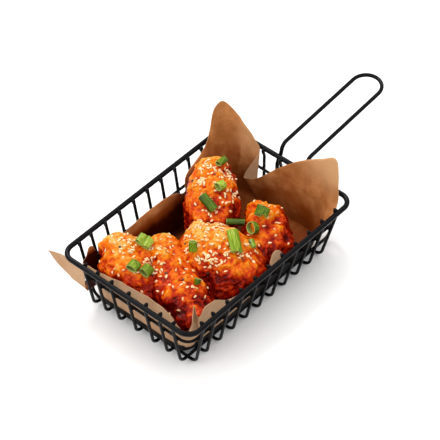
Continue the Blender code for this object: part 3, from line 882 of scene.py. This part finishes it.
def refined(node):
    """A fine, even, softened copy of a CAD node's mesh."""
    copy = bpy.data.objects.new("copy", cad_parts[node].data.copy())
    bpy.context.scene.collection.objects.link(copy)
    remesh = copy.modifiers.new("even", "REMESH")
    remesh.mode = "VOXEL"
    remesh.voxel_size = VOXEL
    soften = copy.modifiers.new("soften", "SMOOTH")
    soften.factor = 0.5
    soften.iterations = 5
    finer = copy.modifiers.new("finer", "SUBSURF")
    finer.levels = 2
    finer.render_levels = 2
    mesh = bpy.data.meshes.new_from_object(copy.evaluated_get(bpy.context.evaluated_depsgraph_get()))
    bpy.data.objects.remove(copy)
    mesh.materials.clear()
    return mesh


def make_tender(node, batter, paper):
    """A piece of chicken with its crumb and sauce. Returns its surface as a search tree."""
    mesh = refined(node)
    normals = [vert.normal.copy() for vert in mesh.vertices]
    knobs = [knob[1:] for knob in KNOBS if knob[0] == node]
    crusts = []
    sauce_and_shade_values = []
    for vert, normal in zip(mesh.vertices, normals):
        for place, reach, push in knobs:
            off = (vert.co - rim_point(*place)).length / (reach * MM)
            vert.co += Vector(push) * MM * math.exp(-off * off)
        lift, crust = crust_lift(vert.co)
        room = paper.find_nearest(vert.co)[3] / MM - CRUST_GAP
        vert.co += normal * min(lift, max(room, 0.0)) * MM
        crusts.append(crust)
        # Painted shade: the colour is pushed redder and darker where the normal faces away from the key
        # lamp and towards the bottom; on top come each piece's own sauce and a darker front of the heap
        lit = sum(way * part for way, part in zip(LIT_SIDE, normal))
        x, y, z = (vert.co - rim_point(0, 0, 0)) / MM
        piece_and_front_darkening = SAUCE[node] + 0.08 * share_of(-y, 45, 85) * share_of(x, -30, 0)
        sauce_and_shade_values.append(min(MOST_SAUCE_AND_SHADE, 0.70 * (0.75 - lit) + 0.20 * share_of(-z, 2, 26) + piece_and_front_darkening))
    mesh.update()
    set_attribute(mesh, "crust", crusts)
    set_attribute(mesh, "sauce_and_shade", sauce_and_shade_values)
    add_piece(f"sauced_{node}", mesh, batter, BATTER, node)
    return surface_tree(mesh)


# ---------------------------------------------------------------- seeds
def seed_form(length, width, thick, around=10, along=7):
    """Rows of a flat teardrop lying along X."""
    rows = []
    for i in range(1, along):
        t = i / along
        x = -math.cos(math.pi * t)
        round_off = math.sqrt(1 - x * x) * (1 - 0.28 * x)
        rows.append([Vector((x * length / 2, math.cos(a) * width / 2 * round_off,
                             math.sin(a) * thick / 2 * round_off))
                     for a in (math.tau * k / around for k in range(around))])
    return rows


def add_seed(bm, tones, place, form, tip, tone):
    """Add a seed's form to a bmesh at a place, closed at both tips, and note its tone."""
    rows = [[bm.verts.new(place @ point) for point in row] for row in form]
    ends = [bm.verts.new(place @ Vector((x, 0, 0))) for x in (-tip, tip)]
    around = len(form[0])
    for low, high in zip(rows, rows[1:]):
        for k in range(around):
            n = (k + 1) % around
            bm.faces.new((low[k], low[n], high[n], high[k]))
    for k in range(around):
        n = (k + 1) % around
        bm.faces.new((ends[0], rows[0][n], rows[0][k]))
        bm.faces.new((ends[1], rows[-1][k], rows[-1][n]))
    tones += [tone] * (around * len(form) + 2)


def drop_on(trees, x, y):
    """The highest point of the chicken over a place given in mm, and the normal there."""
    start = rim_point(x, y, 60)  # well above all the food
    hits = [tree.ray_cast(start, -UP) for tree in trees]
    hits = [(hit[0], hit[1]) for hit in hits if hit[0]]
    return max(hits, key=lambda hit: hit[0].z) if hits else None


def scatter(name, places, material, trees, sizes, chance):
    """Join flat seeds laid on the chicken into one piece."""
    bm = bmesh.new()
    tones = []
    for x, y in places:
        hit = drop_on(trees, x, y)
        if hit is None or hit[1].z < STEEPEST:
            continue
        point, normal = hit
        length, width, thick = (size * chance.uniform(0.88, 1.12) * MM for size in sizes)
        tilt = Vector((chance.gauss(0, 0.22), chance.gauss(0, 0.22), 0))
        lie = (normal + tilt).normalized().to_track_quat("Z", "X").to_matrix().to_4x4()
        turn = Matrix.Rotation(chance.uniform(0, math.tau), 4, "Z")
        place = Matrix.Translation(point + normal * thick * chance.uniform(0.35, 0.75)) @ lie @ turn
        add_seed(bm, tones, place, seed_form(length, width, thick), length / 2, chance.random())
    mesh = to_mesh(name, bm)
    set_attribute(mesh, "tone", tones)
    add_piece(name, mesh, material, BATTER)


def make_seeds(trees):
    """Pale sesame in heaps and loose, and dark sesame one by one."""
    chance = random.Random(SEED_DRAW)
    places = [(chance.gauss(x, spread * 0.6), chance.gauss(y, spread * 0.6))
              for x, y, spread, count in SESAME_HEAPS for _ in range(count)]
    while len(places) < LOOSE_SEEDS + sum(heap[3] for heap in SESAME_HEAPS):
        place = (chance.uniform(-58, 58), chance.uniform(-92, 72))
        hit = drop_on(trees, *place)
        if hit and hit[0].z > RIM_HEIGHT - chance.uniform(2, 26) * MM:
            places.append(place)
    cream = sesame("sesame_cream", (0.72, 0.42, 0.17), (0.90, 0.72, 0.44))
    scatter("sesame_seeds", places, cream, trees, SEED_SIZES, chance)
    dark = sesame("sesame_dark", (0.010, 0.006, 0.005), (0.05, 0.02, 0.012))
    scatter("dark_sesame_seeds", DARK_SEED_PLACES, dark, trees, DARK_SEED_SIZES, chance)


# ---------------------------------------------------------------- spring onion
def slice_frame(node):
    """Middle, axes (bore, wide, up) and half sizes of a slice, read from its CAD node. The bore runs
    along the normal of the face that most exactly caps the node."""
    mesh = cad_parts[node].data
    points = np.array([v.co for v in mesh.vertices])
    middle = points.mean(0)
    best = None
    for face in mesh.polygons:
        normal = np.array(face.normal)
        heights = (points - middle) @ normal
        slack = np.abs(np.abs(heights) - np.abs(heights).max()).max()
        if best is None or slack < best[0]:
            best = (slack, normal, np.abs(heights).max())
    run = best[1]
    flat = points - middle
    flat = flat - np.outer(flat @ run, run)
    wide = np.linalg.svd(flat, full_matrices=False)[2][0]
    up = np.cross(run, wide)
    if up[2] < 0:
        up, wide = -up, -wide
    half = (best[2], np.abs(flat @ wide).max(), np.abs(flat @ up).max())
    return Vector(middle), (Vector(run), Vector(wide), Vector(up)), half


def make_onion(node, skin, tone, chance):
    """A hollow slice of leaf, ribbed and cut a little askew, in place of its CAD node."""
    middle, (run, wide, up), (half_length, half_width, half_height) = slice_frame(node)
    around, along = 36, 12
    slant = chance.uniform(-0.9, 0.9) * MM
    twist = chance.uniform(0, math.tau)
    bow = chance.uniform(-0.05, 0.05)
    painted_light_side = chance.uniform(0.2, 0.6) * math.pi
    bm = bmesh.new()
    values = {"around": [], "along": [], "cut": [], "tone": []}
    rings = []

    def ring(t, wall, cut):
        """One loop of the slice; wall is how far in from the outside it lies."""
        made = []
        for k in range(around):
            angle = math.tau * k / around
            ridge = 0.09 * MM * math.cos(13 * angle + twist) + 0.12 * MM * math.cos(3 * angle + twist)
            w = half_width - wall + ridge
            h = half_height - wall + ridge
            reach = t * half_length + slant * math.cos(angle + twist) * t
            lift = bow * half_length * (1 - t * t)
            made.append(bm.verts.new(middle + run * reach + wide * w * math.cos(angle)
                                     + up * (h * math.sin(angle) + lift)))
            values["around"].append(abs(angle / math.pi - 1))
            values["along"].append(t)
            values["cut"].append(cut)
            # Painted light: each slice's tone is lighter on its upper side and darker below
            band = 0.16 * math.cos(angle - painted_light_side)
            values["tone"].append(tone + (0.1 if wall else band))
        rings.append(made)

    for t in np.linspace(-0.97, 0.97, along):
        ring(float(t), 0.0, 0.0)
    ring(1.0, 0.12 * MM, 0.8)
    ring(1.0, 0.55 * MM, 1.0)
    for t in np.linspace(0.95, -0.95, along // 2):
        ring(float(t), 0.7 * MM, 0.35)
    ring(-1.0, 0.55 * MM, 1.0)
    ring(-1.0, 0.12 * MM, 0.8)
    for one, other in zip(rings, rings[1:] + rings[:1]):
        for k in range(around):
            n = (k + 1) % around
            bm.faces.new((one[k], one[n], other[n], other[k]))
    mesh = to_mesh(node, bm)
    for name, given in values.items():
        set_attribute(mesh, name, given)
    add_piece(f"{node}_slice", mesh, skin, ONION, node)


# ---------------------------------------------------------------- room, light and camera
def area_light(name, place, size, power, colour):
    lamp = bpy.data.lights.new(name, "AREA")
    lamp.shape = "DISK"
    lamp.size = size
    lamp.energy = power
    lamp.color = colour
    obj = bpy.data.objects.new(name, lamp)
    obj.location = place
    obj.rotation_mode = "QUATERNION"
    obj.rotation_quaternion = (LAMP_AIM - Vector(place)).to_track_quat("-Z", "Y")
    bpy.context.scene.collection.objects.link(obj)


def make_room():
    """A pale floor, a tent of soft light and two lamps."""
    bm = bmesh.new()
    bmesh.ops.create_circle(bm, cap_ends=True, radius=FLOOR_RADIUS, segments=96)
    mesh = to_mesh("floor", bm, closed=False)
    s = Shader("floor_white")
    s.set("Base Color", s.mix(s.noise(3.0), (0.93, 0.93, 0.93), (0.95, 0.95, 0.95)))
    s.set("Roughness", 0.9)
    s.principled.inputs["Specular IOR Level"].default_value = 0.1
    mesh.materials.append(s.material)
    floor = bpy.data.objects.new("floor", mesh)
    floor.location.z = CAD_BOX[0].z - FLOOR_DROP
    bpy.context.scene.collection.objects.link(floor)

    world = bpy.data.worlds.new("studio")
    world.use_nodes = True
    tree = world.node_tree
    split = tree.nodes.new("ShaderNodeSeparateXYZ")
    rise = tree.nodes.new("ShaderNodeMapRange")
    rise.interpolation_type = "SMOOTHSTEP"
    for socket, value in zip(rise.inputs, (0.0, *SKY_RISE, *SKY_STRENGTH)):
        socket.default_value = value
    tree.links.new(tree.nodes.new("ShaderNodeTexCoord").outputs["Generated"], split.inputs[0])
    tree.links.new(split.outputs["Z"], rise.inputs[0])
    background = tree.nodes["Background"]
    background.inputs["Color"].default_value = (1.0, 1.0, 1.0, 1.0)
    tree.links.new(rise.outputs[0], background.inputs["Strength"])
    bpy.context.scene.world = world
    for lamp in LAMPS:
        area_light(*lamp)


def make_camera():
    across = math.cos(CAMERA_ELEVATION)
    back = Vector((math.sin(CAMERA_AZIMUTH) * across, -math.cos(CAMERA_AZIMUTH) * across,
                   math.sin(CAMERA_ELEVATION)))
    camera = bpy.data.cameras.new("camera")
    camera.sensor_width = SENSOR
    camera.lens = CAMERA_LENS
    obj = bpy.data.objects.new("camera", camera)
    obj.location = CAMERA_AIM + back * CAMERA_DISTANCE
    obj.rotation_mode = "QUATERNION"
    obj.rotation_quaternion = (-back).to_track_quat("-Z", "Y")
    bpy.context.scene.collection.objects.link(obj)
    bpy.context.scene.camera = obj
    bpy.context.scene.view_settings.view_transform = "Standard"


def main():
    noise.seed_set(CRUMB_DRAW)
    make_camera()
    make_room()
    black = powder_coat()
    make_basket(black)
    make_handle(black)
    liner = surface_tree(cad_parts["paper_liner"].data)
    batter = sauced_crust()
    trees = [make_tender(name, batter, liner) for name in sorted(SAUCE)]
    # The two colours given for each liner side serve for soaking and for painted shade; the outer full
    # soaking is near black, painted shade on the lower outside
    inner = kraft("kraft_inner", light=(0.54, 0.230, 0.080), dark=(0.34, 0.120, 0.028), soak_and_shade="inside",
                  stain_and_shade=((0.230, 0.045, 0.0035), (0.036, 0.0022, 0.0006)), soaked_roughness=0.45)
    outer = kraft("kraft_outer", light=(0.50, 0.31, 0.18), dark=(0.42, 0.235, 0.125), soak_and_shade="outside",
                  stain_and_shade=((0.07, 0.030, 0.012), (0.002, 0.001, 0.001)), soaked_roughness=0.7)
    make_paper(inner, outer, trees)
    make_seeds(trees)
    skin = onion_skin()
    chance = random.Random(ONION_DRAW)
    for number, tone in enumerate(ONION_TONES, 1):
        make_onion(f"spring_onion_{number:02d}", skin, tone, chance)


main()
